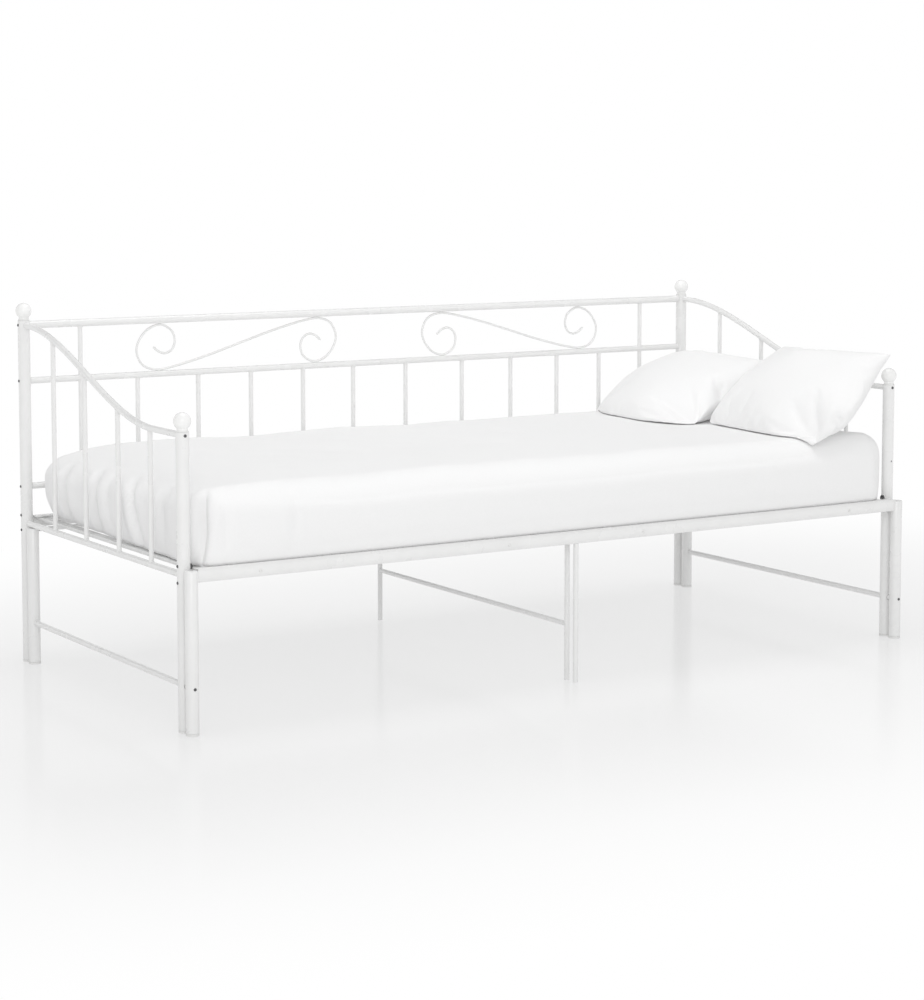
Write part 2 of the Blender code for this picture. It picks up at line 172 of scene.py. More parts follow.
# ======== mesh building ========
def ring_at(centre, radius, sides, side, other):
    angles = [2 * math.pi * k / sides for k in range(sides)]
    return [centre + radius * (math.cos(a) * side + math.sin(a) * other) for a in angles]


def add_rings(bm, rings):
    """Skin a list of equal rings of points; the ends are closed with a fan each."""
    rows = [[bm.verts.new(point) for point in ring] for ring in rings]
    count = len(rings[0])
    for first, second in zip(rows, rows[1:]):
        for k in range(count):
            bm.faces.new((first[k - 1], first[k], second[k], second[k - 1]))
    for row in (rows[0], rows[-1]):
        hub = bm.verts.new(sum((v.co for v in row), Vector()) / count)
        for k in range(count):
            bm.faces.new((row[k - 1], row[k], hub))


def cope(point, direction, post_xy):
    """Slide a point along direction on to the skin of a post, so that a tube's end fits round it."""
    centre = Vector((post_xy[0], post_xy[1], point.z))
    offset = point - centre
    across = direction.cross(Vector((0, 0, 1)))
    reach = math.sqrt((POST_RADIUS + TOUCH) ** 2 - min(offset.dot(across) ** 2, POST_RADIUS ** 2))
    return point + direction * (-reach - offset.dot(direction))


def add_tube(bm, path, radius, sides, side, posts=(None, None)):
    """Round tube along a flat path; side is square to the path's plane, posts are what its ends fit."""
    points = [Vector(p) for p in path]
    side = Vector(side)
    rings = []
    for index, point in enumerate(points):
        before = points[max(index - 1, 0)]
        after = points[min(index + 1, len(points) - 1)]
        other = (after - before).normalized().cross(side)
        rings.append(ring_at(point, radius, sides, side, other))
    for end, post in zip((0, -1), posts):
        if post:
            direction = points[0] - points[1] if end == 0 else points[-1] - points[-2]
            direction = Vector((direction.x, direction.y, 0)).normalized()
            rings[end] = [cope(point, direction, post) for point in rings[end]]
    add_rings(bm, rings)


def add_lathe(bm, profile, sides, matrix=None, hexed=()):
    """Turn an outline of (radius, height) about Z; rings listed in hexed become hexagons."""
    matrix = matrix or Matrix.Identity(4)
    rows = []
    for number, (radius, height) in enumerate(profile):
        if radius < 1e-9:
            rows.append([bm.verts.new(matrix @ Vector((0, 0, height)))] * sides)
            continue
        row = []
        for k in range(sides):
            angle = 2 * math.pi * k / sides
            reach = radius
            if number in hexed:
                reach *= math.cos(math.pi / 6) / math.cos(angle % (math.pi / 3) - math.pi / 6)
            point = Vector((reach * math.cos(angle), reach * math.sin(angle), height))
            row.append(bm.verts.new(matrix @ point))
        rows.append(row)
    for first, second in zip(rows, rows[1:] + rows[:1]):
        for k in range(sides):
            corners = list(dict.fromkeys((first[k], first[k - 1], second[k - 1], second[k])))
            if len(corners) > 2:
                bm.faces.new(corners)


def add_bead(bm, centre, axis, along, spindle_radius, rail_radius, slope=0.0, size=WELD, sides=20):
    """Weld ring where a spindle, leaving a rail in direction axis, meets the rail's round skin."""
    axis = Vector(axis)
    along = Vector(along)
    across = axis.cross(along)
    lean = math.sqrt(1 + slope * slope)
    rows = []
    for k in range(sides):
        angle = 2 * math.pi * k / sides
        outward = math.cos(angle) * along + math.sin(angle) * across
        sideways = spindle_radius * math.sin(angle)
        height = math.sqrt(rail_radius ** 2 - sideways ** 2) * lean + slope * spindle_radius * math.cos(angle)
        point = Vector(centre) + outward * spindle_radius + axis * height
        bulk = size * (1 + 0.35 * noise.noise(point * 400))
        rows.append([bm.verts.new(p) for p in ring_at(point, bulk, 6, outward, axis)])
    for first, second in zip(rows, rows[1:] + rows[:1]):
        for k in range(6):
            bm.faces.new((first[k - 1], first[k], second[k], second[k - 1]))


def rounded_outline(width, height, radius, steps=3):
    """Rectangle about the origin with round corners, as (u, v) points."""
    points = []
    for corner, (su, sv) in enumerate(((1, 1), (-1, 1), (-1, -1), (1, -1))):
        for step in range(steps + 1):
            angle = math.pi / 2 * (corner + step / steps)
            points.append((su * (width / 2 - radius) + radius * math.cos(angle),
                           sv * (height / 2 - radius) + radius * math.sin(angle)))
    return points


def add_bar(bm, outline, start, end, across, up, edge=0.0006):
    """Extrude an outline, given across and up, from start to end with slightly rounded ends."""
    along = (end - start).normalized()
    rings = []
    for base, inset, shrink in ((start, 0, edge), (start, edge, 0), (end, -edge, 0), (end, 0, edge)):
        reach = max(max(abs(u), abs(v)) for u, v in outline)
        scale = 1 - shrink / reach
        rings.append([base + along * inset + across * u * scale + up * v * scale for u, v in outline])
    add_rings(bm, rings)


def mesh_from(name, bm):
    mesh = bpy.data.meshes.new(name)
    bm.to_mesh(mesh)
    bm.free()
    return mesh


def add_object(name, data):
    thing = bpy.data.objects.new(name, data)
    bpy.context.scene.collection.objects.link(thing)
    return thing


def finish_piece(name, bm, material, body, nodes=(), sharp=35.0):
    """Turn a bmesh into a piece that rides on a body and stands for its frame nodes."""
    bmesh.ops.recalc_face_normals(bm, faces=bm.faces)
    mesh = mesh_from(name, bm)
    mesh.shade_smooth()
    mesh.set_sharp_from_angle(angle=math.radians(sharp))
    mesh.materials.append(material)
    piece = add_object(name, mesh)
    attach(piece, body)
    if nodes:
        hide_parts(*nodes)
    return piece


# ======== materials ========
def new_material(name, colour, roughness, metallic=0.0, **sockets):
    """Principled material; sockets are set by name, with spaces written as underscores."""
    material = bpy.data.materials.new(name)
    material.use_nodes = True
    shader = material.node_tree.nodes["Principled BSDF"]
    shader.inputs["Base Color"].default_value = (*colour, 1.0)
    shader.inputs["Roughness"].default_value = roughness
    shader.inputs["Metallic"].default_value = metallic
    for socket, value in sockets.items():
        shader.inputs[socket.replace("_", " ")].default_value = value
    return material


def add_node(material, kind, inputs=None, **settings):
    node = material.node_tree.nodes.new(kind)
    for key, value in settings.items():
        setattr(node, key, value)
    for socket, value in (inputs or {}).items():
        if isinstance(value, bpy.types.NodeSocket):
            material.node_tree.links.new(value, node.inputs[socket])
        else:
            node.inputs[socket].default_value = value
    return node


def object_place(material):
    return add_node(material, "ShaderNodeTexCoord").outputs["Object"]


def noise_value(material, place, scale, detail=3.0, roughness=0.5):
    inputs = {"Vector": place, "Scale": scale, "Detail": detail, "Roughness": roughness}
    return add_node(material, "ShaderNodeTexNoise", inputs).outputs["Fac"]


def mapped(material, value, low, high, start=0.3, stop=0.7):
    inputs = {"Value": value, "From Min": start, "From Max": stop, "To Min": low, "To Max": high}
    return add_node(material, "ShaderNodeMapRange", inputs).outputs["Result"]


def tint(material, factor, first, second):
    """Base colour that runs between two colours."""
    mix = add_node(material, "ShaderNodeMix", data_type="RGBA")
    tree = material.node_tree
    tree.links.new(factor, mix.inputs[0])
    mix.inputs[6].default_value = (*first, 1.0)
    mix.inputs[7].default_value = (*second, 1.0)
    tree.links.new(mix.outputs[2], tree.nodes["Principled BSDF"].inputs["Base Color"])


def set_roughness(material, value):
    shader = material.node_tree.nodes["Principled BSDF"]
    material.node_tree.links.new(value, shader.inputs["Roughness"])


def add_bumps(material, layers):
    """Chain bump nodes; each layer is (height socket, strength, distance in metres)."""
    shader = material.node_tree.nodes["Principled BSDF"]
    normal = None
    for height, strength, distance in layers:
        inputs = {"Height": height, "Strength": strength, "Distance": distance}
        if normal:
            inputs["Normal"] = normal
        normal = add_node(material, "ShaderNodeBump", inputs).outputs["Normal"]
    material.node_tree.links.new(normal, shader.inputs["Normal"])


def finished(material, stain, dark, light, wear, roughness, bumps):
    """The material with colour run by one noise, roughness by another, and bumps."""
    tint(material, mapped(material, stain, 0.0, 1.0), dark, light)
    set_roughness(material, mapped(material, wear, *roughness))
    add_bumps(material, bumps)
    return material


def powder_coat():
    """Satin white powder coat: orange peel at about 1.2 mm, faint thickness clouds, handling sheen."""
    material = new_material("powder_coat_white", (0.82, 0.82, 0.815), 0.28,
                            Coat_Weight=0.45, Coat_Roughness=0.14)
    place = object_place(material)
    peel = noise_value(material, place, 820.0, 2.0)
    cloud = noise_value(material, place, 22.0, 4.0)
    handled = noise_value(material, place, 6.0, 5.0, 0.6)
    return finished(material, cloud, (0.805, 0.805, 0.800), (0.832, 0.832, 0.828), handled, (0.23, 0.34),
                    [(cloud, 0.04, 0.0006), (peel, 0.22, 0.00012)])


def gloss_white():
    """Moulded gloss ball: very shallow sink marks and fine polish lines."""
    material = new_material("gloss_white_plastic", (0.88, 0.88, 0.87), 0.14)
    place = object_place(material)
    sink = noise_value(material, place, 60.0, 1.0)
    polish = noise_value(material, place, 1400.0, 2.0)
    return finished(material, sink, (0.868, 0.868, 0.86), (0.89, 0.89, 0.884), polish, (0.11, 0.19),
                    [(sink, 0.10, 0.0006), (polish, 0.05, 0.00004)])


def grey_plastic():
    """Foot caps: fine moulded grain, scuffed near the floor."""
    material = new_material("grey_plastic_grain", (0.80, 0.80, 0.79), 0.55)
    place = object_place(material)
    grain = noise_value(material, place, 1500.0, 3.0)
    scuff = noise_value(material, place, 180.0, 5.0, 0.65)
    return finished(material, scuff, (0.76, 0.76, 0.75), (0.82, 0.82, 0.81), scuff, (0.48, 0.66),
                    [(scuff, 0.12, 0.0002), (grain, 0.30, 0.00008)])


def dark_zinc():
    """Black zinc of bolts, nuts and screws, rubbed brighter in patches."""
    material = new_material("black_zinc", (0.14, 0.14, 0.145), 0.36, 0.7)
    place = object_place(material)
    rub = noise_value(material, place, 500.0, 4.0, 0.6)
    grain = noise_value(material, place, 2600.0, 2.0)
    return finished(material, rub, (0.10, 0.10, 0.104), (0.22, 0.22, 0.225), rub, (0.30, 0.50),
                    [(grain, 0.2, 0.00005)])


def bare_steel():
    """Drawn steel of the hidden spigots: lines along the bar, faint oil clouds."""
    material = new_material("drawn_steel", (0.55, 0.55, 0.56), 0.30, 1.0)
    place = object_place(material)
    stretched = add_node(material, "ShaderNodeMapping", {"Vector": place, "Scale": (4.0, 900.0, 900.0)})
    lines = noise_value(material, stretched.outputs["Vector"], 1.0, 2.0)
    cloud = noise_value(material, place, 40.0, 4.0)
    return finished(material, cloud, (0.48, 0.48, 0.49), (0.60, 0.60, 0.61), lines, (0.24, 0.40),
                    [(lines, 0.15, 0.00004)])


def thread_value(material, place, pitch):
    """Plain weave: thread ridges along the three axes, crossed so that every face shows a grid."""
    ridges = []
    for direction in ("X", "Y", "Z"):
        wave = add_node(material, "ShaderNodeTexWave",
                        {"Vector": place, "Scale": math.pi / (10 * pitch), "Distortion": 0.6,
                         "Detail": 1.0, "Detail Scale": 2.0},
                        wave_type="BANDS", bands_direction=direction)
        ridges.append(wave.outputs["Fac"])
    grid = add_node(material, "ShaderNodeMath", {0: ridges[0], 1: ridges[1]}, operation="MULTIPLY")
    thread = add_node(material, "ShaderNodeMath", {0: grid.outputs[0], 1: ridges[2]}, operation="ADD")
    return thread.outputs[0]


def cotton(name, colour, shade, pitch, crumple):
    """White cotton: weave, slubs, and soft crumples; colour runs slightly darker in the slubs."""
    material = new_material(name, colour, 0.9, Sheen_Weight=0.25, Sheen_Roughness=0.5)
    place = object_place(material)
    weave = thread_value(material, place, pitch)
    slub = noise_value(material, place, 260.0, 3.0, 0.6)
    soft = noise_value(material, place, 14.0, 3.0, 0.5)
    return finished(material, slub, shade, colour, slub, (0.84, 0.95),
                    [(soft, crumple, 0.004), (slub, 0.10, 0.0003), (weave, 0.25, 0.00015)])


COAT = powder_coat()
BALL = gloss_white()
GREY = grey_plastic()
ZINC = dark_zinc()
STEEL = bare_steel()
SHEET = cotton("cotton_sheet", (0.885, 0.885, 0.885), (0.868, 0.868, 0.868), 0.0006, 0.10)
CASE = cotton("cotton_pillowcase", (0.892, 0.892, 0.892), (0.876, 0.876, 0.876), 0.0005, 0.14)


# ======== posts, finials, feet ========
def post_profile(bottom, top, closed_top):
    """Outline of a tube standing on Z, with its edges broken; a closed top gets a domed cap."""
    outer = POST_RADIUS
    bore = POST_RADIUS - POST_WALL
    edge = 0.0005
    foot = [(bore, bottom), (outer - edge, bottom), (outer, bottom + edge)]
    rows = [(outer, STRETCHER_Z - 0.02), (outer, STRETCHER_Z + 0.02)]
    if closed_top:
        crown = [(outer, top - 0.0025), (outer - 0.0008, top - 0.0008), (outer - 0.003, top), (0, top),
                 (0, top - POST_WALL), (bore, top - POST_WALL)]
    else:
        crown = [(outer, top - edge), (outer - edge, top), (bore, top)]
    return foot + rows + crown


def turned(node, profile, sides, base=0.0):
    """Lathed mesh on the upright axis of its node, with the profile's zero at height base."""
    centre = middle(node)
    bm = bmesh.new()
    add_lathe(bm, profile, sides, Matrix.Translation((centre.x, centre.y, base)))
    return bm


def build_post(node, body, closed_top):
    low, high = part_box(node)
    bm = turned(node, post_profile(low.z, high.z, closed_top), 48)
    piece = finish_piece(f"{node}_tube", bm, COAT, body, [node])
    if node.startswith("post_front"):
        cut_stretcher_hole(piece, middle(node))


def cut_stretcher_hole(piece, centre):
    """The side stretcher slides through this hole."""
    bm = bmesh.new()
    path = ((centre.x, centre.y - 0.03, STRETCHER_Z), (centre.x, centre.y + 0.03, STRETCHER_Z))
    add_tube(bm, path, STRETCHER_HOLE_RADIUS, 32, (1, 0, 0))
    bmesh.ops.recalc_face_normals(bm, faces=bm.faces)
    tool = add_object("hole", mesh_from("hole", bm))
    modifier = piece.modifiers.new("hole", "BOOLEAN")
    modifier.operation = "DIFFERENCE"
    modifier.object = tool
    apply_modifiers(piece)
    bpy.data.objects.remove(tool)


def apply_modifiers(piece):
    depsgraph = bpy.context.evaluated_depsgraph_get()
    mesh = bpy.data.meshes.new_from_object(piece.evaluated_get(depsgraph))
    piece.modifiers.clear()
    piece.data = mesh


def finial_profile():
    """Short neck flaring into a ball, with a faint parting line round its middle."""
    stem = POST_RADIUS - POST_WALL - 2 * TOUCH
    centre = NECK_HEIGHT + FINIAL_RADIUS - 0.001
    outline = [(0, -0.030), (stem, -0.030), (stem, TOUCH), (0.0138, TOUCH), (0.0140, 0.0012),
               (0.0126, 0.0026)]
    start = math.radians(-52)
    for step in range(29):
        angle = start + (math.pi / 2 - start) * step / 29
        radius = FINIAL_RADIUS + (0.00012 if step == 10 else 0.0)
        outline.append((radius * math.cos(angle), centre + radius * math.sin(angle)))
    return outline + [(0, centre + FINIAL_RADIUS)]


def build_finial(node):
    post_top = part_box(node)[1].z - (NECK_HEIGHT - 0.001 + 2 * FINIAL_RADIUS)
    bm = turned(node, finial_profile(), 48, post_top)
    finish_piece(f"{node}_ball", bm, BALL, "frame", [node], sharp=50)


def build_foot(node, body):
    stem_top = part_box(node)[1].z
    radius, height = POST_RADIUS, FOOT_CAP_HEIGHT
    stem = POST_RADIUS - POST_WALL - 2 * TOUCH
    profile = [(0, 0), (radius - 0.0012, 0), (radius - 0.0004, 0.0004), (radius, 0.0012),
               (radius, height - 0.0002), (radius - 0.0002, height), (stem, height), (stem, stem_top),
               (0, stem_top)]
    finish_piece(f"{node}_cap", turned(node, profile, 40), GREY, body, [node])


def build_uprights():
    for side in SIDES:
        for end in ("back", "front"):
            build_post(f"post_{end}_{side}", "frame", False)
            build_finial(f"finial_{end}_{side}")
            build_foot(f"foot_{end}_{side}", "frame")
        for end in ("rear", "front"):
            build_post(f"pull_leg_{end}_{side}", "pullout", True)
            build_foot(f"pull_foot_{end}_{side}", "pullout")


# ======== back panel ========
def smooth_path(points, steps):
    """Catmull-Rom curve through given points."""
    path = [Vector(point) for point in points]
    ends = [2 * path[0] - path[1]] + path + [2 * path[-1] - path[-2]]
    result = []
    for a, b, c, d in zip(ends, ends[1:], ends[2:], ends[3:]):
        for step in range(steps):
            t = step / steps
            result.append(0.5 * ((2 * b) + (c - a) * t + (2 * a - 5 * b + 4 * c - d) * t ** 2
                                 + (3 * b - a - 3 * c + d) * t ** 3))
    return result + [path[-1]]


def build_back_panel(side):
    """Two long rails and the top rail, five short spindles and a tall one, all welded."""
    sign = SIDES[side]
    bm = bmesh.new()
    post = (sign * POST_X, BACK_Y)
    rails = ((TOP_RAIL_Z, TOP_RAIL_RADIUS), (MIDDLE_RAIL_Z, RAIL_RADIUS), (LOWER_RAIL_Z, RAIL_RADIUS))
    for z, radius in rails:
        inner = Vector((sign * TOUCH, BACK_Y, z))
        stations = (0.0, 0.0008, 0.02, 0.5, 0.97, POST_X - POST_RADIUS)
        path = [inner + Vector((sign * station, 0, 0)) for station in stations]
        add_tube(bm, path, radius, 32, (0, 1, 0), (None, post))
    spindles = [(TALL_SPINDLE_X, TOP_RAIL_Z, TOP_RAIL_RADIUS)]
    spindles += [(x, MIDDLE_RAIL_Z, RAIL_RADIUS) for x in SHORT_SPINDLES_X[side]]
    for x, top, top_radius in spindles:
        foot = Vector((sign * x, BACK_Y, LOWER_RAIL_Z))
        head = Vector((sign * x, BACK_Y, top))
        add_tube(bm, (foot, head), SPINDLE_RADIUS, 24, (0, 1, 0))
        add_bead(bm, foot, (0, 0, 1), (1, 0, 0), SPINDLE_RADIUS, RAIL_RADIUS)
        add_bead(bm, head, (0, 0, -1), (1, 0, 0), SPINDLE_RADIUS, top_radius)
        if top == TOP_RAIL_Z:
            crossing = Vector((sign * x, BACK_Y, MIDDLE_RAIL_Z))
            add_bead(bm, crossing, (0, 0, 1), (1, 0, 0), SPINDLE_RADIUS, RAIL_RADIUS)
            add_bead(bm, crossing, (0, 0, -1), (1, 0, 0), SPINDLE_RADIUS, RAIL_RADIUS)
    name = f"back_panel_{side}"
    finish_piece(f"{name}_tubes", bm, COAT, "frame", [name])


def build_scroll(side):
    """Bent rod with round ends, tacked to the rails where its curls touch them."""
    sign = SIDES[side]
    half = [Vector((x, 0, z)) for x, z in SCROLL_HALF]
    whole = half + [-point for point in reversed(half[:-1])]
    centre = Vector((sign * SCROLL_CENTRE_X, BACK_Y, SCROLL_CENTRE_Z))
    path = [centre + Vector((-sign * p.x, 0, p.z)) for p in smooth_path(whole, 8)]
    bm = bmesh.new()
    add_tube(bm, path, SCROLL_RADIUS, 14, (0, 1, 0))
    for end in (path[0], path[-1]):
        bmesh.ops.create_icosphere(bm, subdivisions=2, radius=SCROLL_RADIUS, matrix=Matrix.Translation(end))
    highest = max(path, key=lambda p: p.z)
    lowest = min(path, key=lambda p: p.z)
    for touch, rise in ((highest, 1), (lowest, -1)):
        tack = touch + Vector((0, 0, rise * SCROLL_RADIUS * 0.8))
        squash = Matrix.Diagonal((2.6, 1.5, 0.8, 1.0))
        place = Matrix.Translation(tack) @ squash
        bmesh.ops.create_icosphere(bm, subdivisions=2, radius=0.0022, matrix=place)
    name = f"scroll_{side}"
    finish_piece(f"{name}_rod", bm, COAT, "frame", [name])


# ======== side panels ========
def arm_height(y):
    fall = (BACK_Y - ARM_FALL_START - y) / ARM_FALL_LENGTH
    fall = min(max(fall, 0.0), 1.0)
    return ARM_BACK_Z - (ARM_BACK_Z - ARM_FRONT_Z) * fall * fall * (3 - 2 * fall)


def arm_slope(y):
    step = 0.001
    return (arm_height(y + step) - arm_height(y - step)) / (2 * step)


def build_side_panel(side):
    x = SIDES[side] * POST_X
    back = BACK_Y - POST_RADIUS
    front = FRONT_Y + POST_RADIUS
    posts = ((x, BACK_Y), (x, FRONT_Y))
    bm = bmesh.new()
    steps = 64
    arm = [back + (front - back) * step / steps for step in range(steps + 1)]
    add_tube(bm, [(x, y, arm_height(y)) for y in arm], ARM_RADIUS, 28, (1, 0, 0), posts)
    add_tube(bm, [(x, y, LOWER_TUBE_Z) for y in (back, 0.0, front)], ARM_RADIUS, 28, (1, 0, 0), posts)
    for distance in SIDE_SPINDLE_Y:
        y = BACK_Y - distance
        foot = Vector((x, y, LOWER_TUBE_Z))
        head = Vector((x, y, arm_height(y)))
        add_tube(bm, (foot, head), SPINDLE_RADIUS, 24, (0, 1, 0))
        add_bead(bm, foot, (0, 0, 1), (0, 1, 0), SPINDLE_RADIUS, ARM_RADIUS)
        add_bead(bm, head, (0, 0, -1), (0, 1, 0), SPINDLE_RADIUS, ARM_RADIUS, slope=-arm_slope(y))
    name = f"side_panel_{side}"
    finish_piece(f"{name}_tubes", bm, COAT, "frame", [name])


# ======== deck ========
def build_section(node, body, corner):
    """A bar with round corners, on the box of its frame node, lying along its longest side."""
    low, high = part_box(node)
    size = high - low
    centre = (low + high) / 2
    up = Vector((0, 0, 1))
    along = Vector((1, 0, 0)) if size.x > size.y else Vector((0, 1, 0))
    across = along.cross(up)
    length = max(size.x, size.y)
    width = min(size.x, size.y)
    bm = bmesh.new()
    ends = (centre - along * length / 2, centre + along * length / 2)
    add_bar(bm, rounded_outline(width, size.z, corner), *ends, across, up)
    finish_piece(f"{node}_bar", bm, COAT, body, [node])


def angle_outline(outward):
    """L section with broken edges and a small inner fillet; outward is the way its plate looks."""
    low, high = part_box("front_rail")
    height = high.z - low.z
    t = ANGLE_PLATE
    e = 0.0007
    f = 0.0016
    half = [(e, 0), (0, e), (0, height - 2 * e), (2 * e, height), (ANGLE_FLANGE - e, height),
            (ANGLE_FLANGE, height - e), (ANGLE_FLANGE, height - t + e), (ANGLE_FLANGE - e, height - t),
            (t + f, height - t), (t + 0.3 * f, height - t - 0.3 * f), (t, height - t - f), (t, e), (t - e, 0)]
    return [(-outward * u, v) for u, v in half]


def build_angle_rail(node, body, outward):
    low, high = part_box(node)
    face = high.y if outward > 0 else low.y
    bm = bmesh.new()
    ends = [Vector((x, face, low.z)) for x in (low.x, high.x)]
    outline = angle_outline(outward)
    rings = [[end + Vector((0, u, v)) for u, v in outline] for end in ends]
    rows = [[bm.verts.new(point) for point in ring] for ring in rings]
    for k in range(len(outline)):
        bm.faces.new((rows[0][k - 1], rows[0][k], rows[1][k], rows[1][k - 1]))
    bm.faces.new(rows[0])
    bm.faces.new(rows[1])
    finish_piece(f"{node}_angle", bm, COAT, body, [node], sharp=50)


def build_deck():
    for number in range(1, 8):
        build_section(f"fixed_slat_{number}", "frame", 0.0022)
    for number in range(1, 9):
        build_section(f"pull_slat_{number}", "pullout", 0.0022)
    for side in SIDES:
        build_section(f"side_rail_{side}", "frame", 0.0012)
    build_section("front_crossbar", "frame", 0.0020)
    build_section("rear_crossbar", "pullout", 0.0020)
    build_angle_rail("rear_rail", "frame", 1)
    build_angle_rail("front_rail", "pullout", -1)


def build_rod(node):
    """Mesh of a straight round bar on the box of its node, with broken edges."""
    low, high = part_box(node)
    size = high - low
    axis = max(range(3), key=lambda k: size[k])
    radius = min(size) / 2
    along = Vector([1.0 if k == axis else 0.0 for k in range(3)])
    side = Vector((1, 0, 0)) if axis != 0 else Vector((0, 1, 0))
    half = size[axis] / 2
    edge = 0.0005
    other = along.cross(side)
    rings = []
    for reach, shrink in ((-half, edge), (-half + edge, 0), (half - edge, 0), (half, edge)):
        rings.append(ring_at(middle(node) + along * reach, radius - shrink, 32, side, other))
    bm = bmesh.new()
    add_rings(bm, rings)
    return bm


def build_rods():
    for node, kind, body in (("centre_leg_back", "tube", "frame"), ("centre_leg_front", "tube", "frame"),
                             ("pull_centre_leg", "tube", "pullout"), ("centre_stretcher", "rod", "frame"),
                             ("side_stretcher_left", "rod", "pullout"),
                             ("side_stretcher_right", "rod", "pullout")):
        finish_piece(f"{node}_{kind}", build_rod(node), COAT, body, [node])
    for end in ("top", "middle", "lower"):
        node = f"spigot_{end}"
        finish_piece(f"{node}_bar", build_rod(node), STEEL, "frame", [node])


# ======== fasteners ========
def bolt_profile(radius, height):
    """Button head standing on Z 0, with its socket; the socket's rings are numbers 0 to 2."""
    socket = radius * 0.42
    return [(0, height * 0.45), (socket, height * 0.45), (socket, height * 0.97), (socket * 1.15, height),
            (radius * 0.72, height * 0.86), (radius * 0.93, height * 0.5), (radius, height * 0.16),
            (radius, 0), (0, 0)]


def add_head(bm, profile, seat, direction):
    turn = Vector(direction).to_track_quat("Z", "Y").to_matrix().to_4x4()
    add_lathe(bm, profile, 24, Matrix.Translation(seat) @ turn, hexed=(1, 2))


def add_bolt(bm, seat, direction, radius=BOLT_RADIUS, height=BOLT_HEIGHT):
    add_head(bm, bolt_profile(radius, height), seat, direction)


def add_nut(bm, seat, direction, radius=0.0072, height=0.0045):
    profile = [(0, 0), (radius, 0), (radius, height * 0.8), (radius * 0.86, height), (radius * 0.5, height),
               (radius * 0.45, height * 1.5), (0, height * 1.6)]
    add_head(bm, profile, seat, direction)


def build_frame_bolts():
    bm = bmesh.new()
    seat = POST_RADIUS - BOLT_SEAT
    for sign in SIDES.values():
        for z in BACK_POST_BOLTS_Z:
            add_bolt(bm, (sign * (POST_X + seat), BACK_Y, z), (sign, 0, 0))
        for z in FRONT_POST_BOLTS_Z:
            add_bolt(bm, (sign * (POST_X + seat), FRONT_Y, z), (sign, 0, 0))
        for z in (ARM_BACK_Z, LOWER_TUBE_Z):
            add_bolt(bm, (sign * POST_X, BACK_Y + seat, z), (0, 1, 0))
        for z in (ARM_FRONT_Z, LOWER_TUBE_Z):
            add_bolt(bm, (sign * POST_X, FRONT_Y - seat, z), (0, -1, 0))
        add_nut(bm, (sign * (POST_X - seat), FRONT_Y, FRONT_POST_BOLTS_Z[0] - 0.002), (-sign, 0, 0))
    add_bolt(bm, (POST_X, FRONT_Y - seat, 0.4655), (0, -1, 0), 0.0022, 0.0018)
    finish_piece("frame_bolts", bm, ZINC, "frame")


def build_pullout_bolts():
    bm = bmesh.new()
    seat = POST_RADIUS - BOLT_SEAT
    leg_y = middle("pull_leg_front_left").y
    for sign in SIDES.values():
        add_bolt(bm, (sign * POST_X, leg_y - seat, STRETCHER_Z), (0, -1, 0))
    finish_piece("pullout_bolts", bm, ZINC, "pullout")


def build_rail_welds():
    """Upright fillets that close the corner between each front leg and the end of the rail's plate."""
    low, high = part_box("front_rail")
    y = low.y + 0.5 * ANGLE_PLATE
    bm = bmesh.new()
    for end in (low.x, high.x):
        x = end + math.copysign(0.0006, end)
        heights = [low.z + 0.001 + (high.z - low.z - 0.006) * step / 12 for step in range(13)]
        rings = []
        for z in heights:
            bulk = 0.0019 * (1 + 0.25 * noise.noise(Vector((x, y, z)) * 300))
            rings.append(ring_at(Vector((x, y, z)), bulk, 10, Vector((1, 0, 0)), Vector((0, 1, 0))))
        add_rings(bm, rings)
    finish_piece("front_rail_welds", bm, COAT, "pullout")


def build_rail_screws():
    """Pale pan heads on the front rail's face."""
    bm = bmesh.new()
    for x in (-0.853, -0.195, 0.195, 0.853):
        add_bolt(bm, (x, FRONT_PLATE_Y, 0.352), (0, -1, 0), 0.0042, 0.0018)
    finish_piece("front_rail_screws", bm, GREY, "pullout")


# ======== mattress ========
def shell_grid(size, cells):
    """Closed all-quad skin of a box about the origin: vertex places and faces."""
    counts = [round(s / cell) for s, cell in zip(size, cells)]
    index = {}
    places = []
    faces = []

    def vertex(key):
        if key not in index:
            index[key] = len(places)
            places.append([s * (k / n - 0.5) for s, k, n in zip(size, key, counts)])
        return index[key]

    for axis in range(3):
        first, second = (axis + 1) % 3, (axis + 2) % 3
        for end in (0, counts[axis]):
            for i in range(counts[first]):
                for j in range(counts[second]):
                    corners = []
                    for di, dj in ((0, 0), (1, 0), (1, 1), (0, 1)):
                        key = [0, 0, 0]
                        key[axis] = end
                        key[first] = i + di
                        key[second] = j + dj
                        corners.append(vertex(tuple(key)))
                    faces.append(corners if end else corners[::-1])
    return np.array(places), faces


def round_box(places, size):
    """Pull the skin of a box in to elliptical edges; returns the new places and the outward normals."""
    half = np.array(size) / 2
    drop = np.clip(-places[:, 2] / half[2], 0, 1)
    reach = np.empty_like(places)
    reach[:, :2] = (EDGE_ACROSS + (HEM_RADIUS - EDGE_ACROSS) * drop ** 2)[:, None]
    reach[:, 2] = np.where(places[:, 2] > 0, EDGE_DOWN, HEM_RADIUS)
    core = np.clip(places, reach - half, half - reach)
    away = (places - core) / reach
    away /= np.linalg.norm(away, axis=1)[:, None]
    normals = away / reach
    normals /= np.linalg.norm(normals, axis=1)[:, None]
    return round_corners(core + away * reach, half), normals


def round_corners(places, half):
    """Round the four upright corners in plan."""
    inner = half[:2] - CORNER_RADIUS
    flat = np.abs(places[:, :2])
    beyond = np.maximum(flat - inner, 0)
    length = np.maximum(np.linalg.norm(beyond, axis=1), 1e-9)
    share = beyond.max(axis=1) / length
    rounded = places.copy()
    rounded[:, :2] = np.sign(places[:, :2]) * (np.minimum(flat, inner) + beyond * share[:, None])
    return rounded


